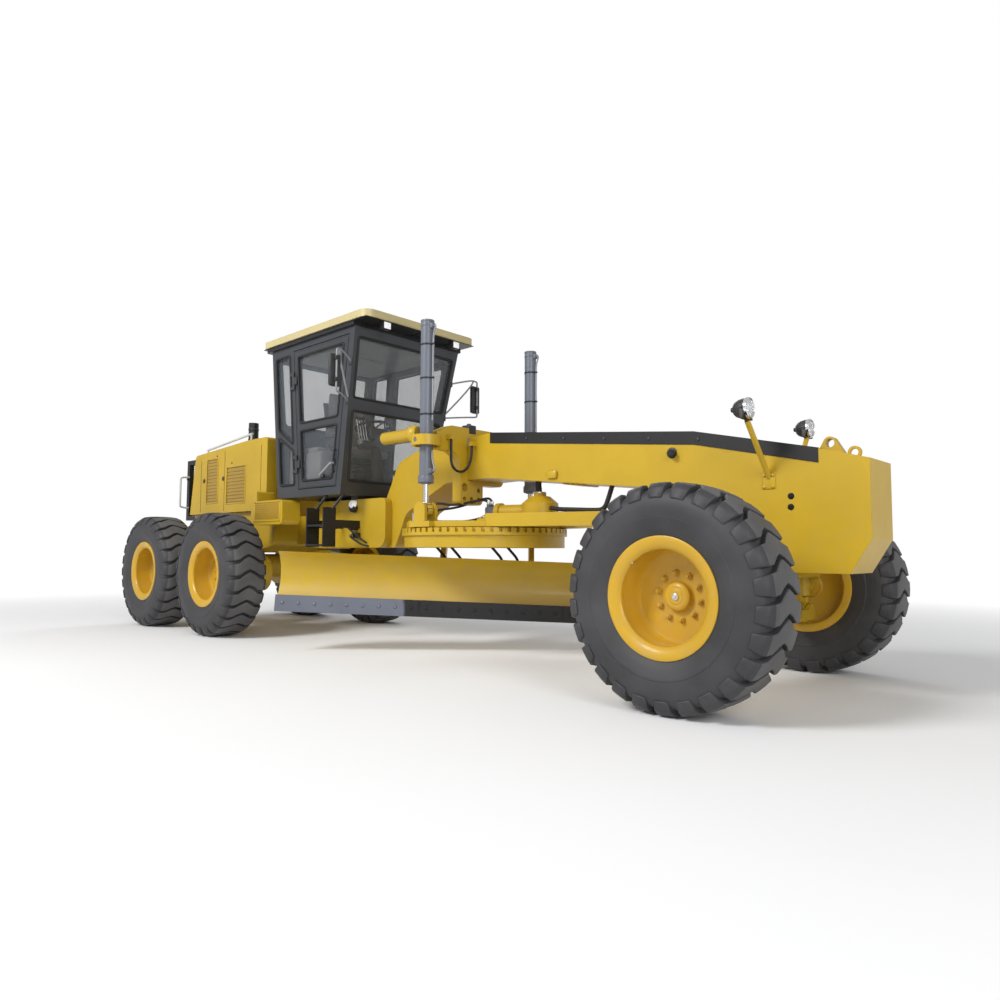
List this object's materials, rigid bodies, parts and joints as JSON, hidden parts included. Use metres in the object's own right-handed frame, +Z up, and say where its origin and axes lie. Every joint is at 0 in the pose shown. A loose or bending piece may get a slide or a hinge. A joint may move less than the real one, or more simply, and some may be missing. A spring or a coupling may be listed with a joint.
{
  "type": "motor grader",
  "caption": "Articulated motor grader with leaning, steering front wheels, a tandem drive, a turning circle with a curved blade, and a glazed cab.",
  "frame": {"origin": "on the ground under the middle of the whole machine", "axes": "+X forward, +Y to the machine's left, +Z up"},
  "size_m": [8.726, 2.8279, 3.262],
  "materials": {
    "yellow_paint": "satin machine paint",
    "rim_paint": "satin paint",
    "grille_paint": "punched sheet",
    "black_paint": "satin",
    "lamp_body": "lamp shells on painted posts",
    "tyre_rubber": "matt",
    "cab_glass": "clear",
    "chrome_rod": "polished",
    "cylinder_paint": "grey paint",
    "edge_steel": "rolled",
    "cab_trim": "moulded",
    "hose_rubber": "matt",
    "engine_iron": "cast",
    "rail_steel": "zinc"
  },
  "bodies": {
    "rear_frame": {"rear_frame": "yellow_paint", "tandem_axle": "yellow_paint", "tandem_cases": "yellow_paint", "axle_seats": "yellow_paint", "side_tanks": "yellow_paint", "hood": "yellow_paint", "hood_grilles": "grille_paint", "engine": "engine_iron", "rear_guard": "black_paint", "handrails": "rail_steel", "exhaust": "black_paint"},
    "front_frame": {"front_frame": "yellow_paint", "gooseneck": "yellow_paint", "beam_cover": "black_paint", "saddle": "yellow_paint", "elbow_tube": "yellow_paint", "front_axle": "yellow_paint", "cab_frame": "black_paint", "cab_roof": "yellow_paint", "roof_lining": "black_paint", "cab_glass": "cab_glass", "cab_interior": "cab_trim", "ladders": "black_paint", "mirrors": "black_paint", "headlamps": "lamp_body", "saddle_hose": "hose_rubber", "lift_barrels": "cylinder_paint"},
    "door_left": {"cab_door_left": "black_paint", "door_glass_left": "cab_glass"},
    "door_right": {"cab_door_right": "black_paint", "door_glass_right": "cab_glass"},
    "lean_left": {"lean_yoke_left": "yellow_paint"},
    "lean_right": {"lean_yoke_right": "yellow_paint"},
    "lean_bar": {"lean_bar": "yellow_paint"},
    "knuckle_left": {"knuckle_left": "yellow_paint"},
    "knuckle_right": {"knuckle_right": "yellow_paint"},
    "tie_rod_boot": {"tie_rod_boot": "hose_rubber"},
    "tie_rod": {"tie_rod": "yellow_paint"},
    "drawbar": {"drawbar": "yellow_paint", "circle_plate": "yellow_paint", "circle_drive": "yellow_paint"},
    "circle": {"circle": "yellow_paint"},
    "tilt_frame": {"tilt_frame": "yellow_paint"},
    "blade": {"moldboard": "yellow_paint", "cutting_edge": "edge_steel", "side_shift_rod": "chrome_rod"},
    "lift_rod_left": {"lift_rod_left": "chrome_rod"},
    "lift_rod_right": {"lift_rod_right": "chrome_rod"},
    "wheel_front_left": {"rim_front_left": "rim_paint", "tyre_front_left": "tyre_rubber"},
    "wheel_front_right": {"rim_front_right": "rim_paint", "tyre_front_right": "tyre_rubber"},
    "wheel_mid_left": {"rim_mid_left": "rim_paint", "tyre_mid_left": "tyre_rubber"},
    "wheel_mid_right": {"rim_mid_right": "rim_paint", "tyre_mid_right": "tyre_rubber"},
    "wheel_rear_left": {"rim_rear_left": "rim_paint", "tyre_rear_left": "tyre_rubber"},
    "wheel_rear_right": {"rim_rear_right": "rim_paint", "tyre_rear_right": "tyre_rubber"}
  },
  "joints": [
    {"name": "articulation", "type": "hinge", "parent": "rear_frame", "child": "front_frame", "pos_m": [-1.713, 0, 1.17], "axis": [0, 0, 1], "range_deg": [-25, 25]},
    {"name": "lean_left", "type": "hinge", "parent": "front_frame", "child": "lean_left", "pos_m": [3.537, 0.82, 0.48], "axis": [1, 0, 0], "range_deg": [-18, 18]},
    {"name": "lean_right", "type": "hinge", "parent": "front_frame", "child": "lean_right", "pos_m": [3.537, -0.82, 0.48], "axis": [1, 0, 0], "range_deg": [-18, 18]},
    {"name": "lean_bar_swing", "type": "hinge", "parent": "lean_left", "child": "lean_bar", "pos_m": [3.657, 0.82, 0.765], "axis": [1, 0, 0], "range_deg": [-18, 18]},
    {"name": "steer_left", "type": "hinge", "parent": "lean_left", "child": "knuckle_left", "pos_m": [3.537, 0.82, 0.67], "axis": [0, 0, 1], "range_deg": [-45, 45]},
    {"name": "steer_right", "type": "hinge", "parent": "lean_right", "child": "knuckle_right", "pos_m": [3.537, -0.82, 0.67], "axis": [0, 0, 1], "range_deg": [-45, 45]},
    {"name": "tie_rod_turn", "type": "hinge", "parent": "knuckle_left", "child": "tie_rod_boot", "pos_m": [3.277, 0.82, 0.575], "axis": [0, 0, 1], "range_deg": [-45, 45]},
    {"name": "tie_rod_tilt", "type": "hinge", "parent": "tie_rod_boot", "child": "tie_rod", "pos_m": [3.277, 0.82, 0.575], "axis": [1, 0, 0], "range_deg": [-18, 18]},
    {"name": "spin_front_left", "type": "hinge", "parent": "knuckle_left", "child": "wheel_front_left", "pos_m": [3.537, 1.075, 0.67], "axis": [0, 1, 0], "continuous": true},
    {"name": "spin_front_right", "type": "hinge", "parent": "knuckle_right", "child": "wheel_front_right", "pos_m": [3.537, -1.075, 0.67], "axis": [0, 1, 0], "continuous": true},
    {"name": "spin_mid_left", "type": "hinge", "parent": "rear_frame", "child": "wheel_mid_left", "pos_m": [-2.063, 1.075, 0.67], "axis": [0, 1, 0], "continuous": true},
    {"name": "spin_mid_right", "type": "hinge", "parent": "rear_frame", "child": "wheel_mid_right", "pos_m": [-2.063, -1.075, 0.67], "axis": [0, 1, 0], "continuous": true},
    {"name": "spin_rear_left", "type": "hinge", "parent": "rear_frame", "child": "wheel_rear_left", "pos_m": [-3.643, 1.075, 0.67], "axis": [0, 1, 0], "continuous": true},
    {"name": "spin_rear_right", "type": "hinge", "parent": "rear_frame", "child": "wheel_rear_right", "pos_m": [-3.643, -1.075, 0.67], "axis": [0, 1, 0], "continuous": true},
    {"name": "drawbar_lift", "type": "hinge", "parent": "front_frame", "child": "drawbar", "pos_m": [3.057, 0, 1.035], "axis": [0, 1, 0], "range_deg": [-16, 3]},
    {"name": "lift_rod_left", "type": "slide", "parent": "front_frame", "child": "lift_rod_left", "axis": [0, 0, -1], "range_m": [-0.12, 0.62]},
    {"name": "lift_rod_right", "type": "slide", "parent": "front_frame", "child": "lift_rod_right", "axis": [0, 0, -1], "range_m": [-0.12, 0.62]},
    {"name": "circle_turn", "type": "hinge", "parent": "drawbar", "child": "circle", "pos_m": [0.937, 0, 1.085], "axis": [0, 0, 1], "continuous": true},
    {"name": "blade_pitch", "type": "hinge", "parent": "circle", "child": "tilt_frame", "pos_m": [0.77793, 0.1798, 0.48943], "axis": [0.7332, 0.679, -0.0366], "range_deg": [-5, 35]},
    {"name": "blade_shift", "type": "slide", "parent": "tilt_frame", "child": "blade", "axis": [0.7332, 0.679, -0.0366], "range_m": [-0.6, 0.6]},
    {"name": "door_left", "type": "hinge", "parent": "front_frame", "child": "door_left", "pos_m": [-1.277, 0.63344, 1.8], "axis": [0, 0.0642, 0.9979], "range_deg": [0, 90]},
    {"name": "door_right", "type": "hinge", "parent": "front_frame", "child": "door_right", "pos_m": [-1.277, -0.63344, 1.8], "axis": [0, 0.0642, -0.9979], "range_deg": [0, 90]}
  ],
  "couplings": [
    {"joint": "lean_right", "follows": "lean_left", "ratio": 1},
    {"joint": "lean_bar_swing", "follows": "lean_left", "ratio": -1},
    {"joint": "steer_right", "follows": "steer_left", "ratio": 1},
    {"joint": "tie_rod_turn", "follows": "steer_left", "ratio": -1},
    {"joint": "tie_rod_tilt", "follows": "lean_left", "ratio": -1},
    {"joint": "lift_rod_left", "follows": "drawbar_lift", "m_per_rad": -2.167},
    {"joint": "lift_rod_right", "follows": "drawbar_lift", "m_per_rad": -2.167}
  ]
}
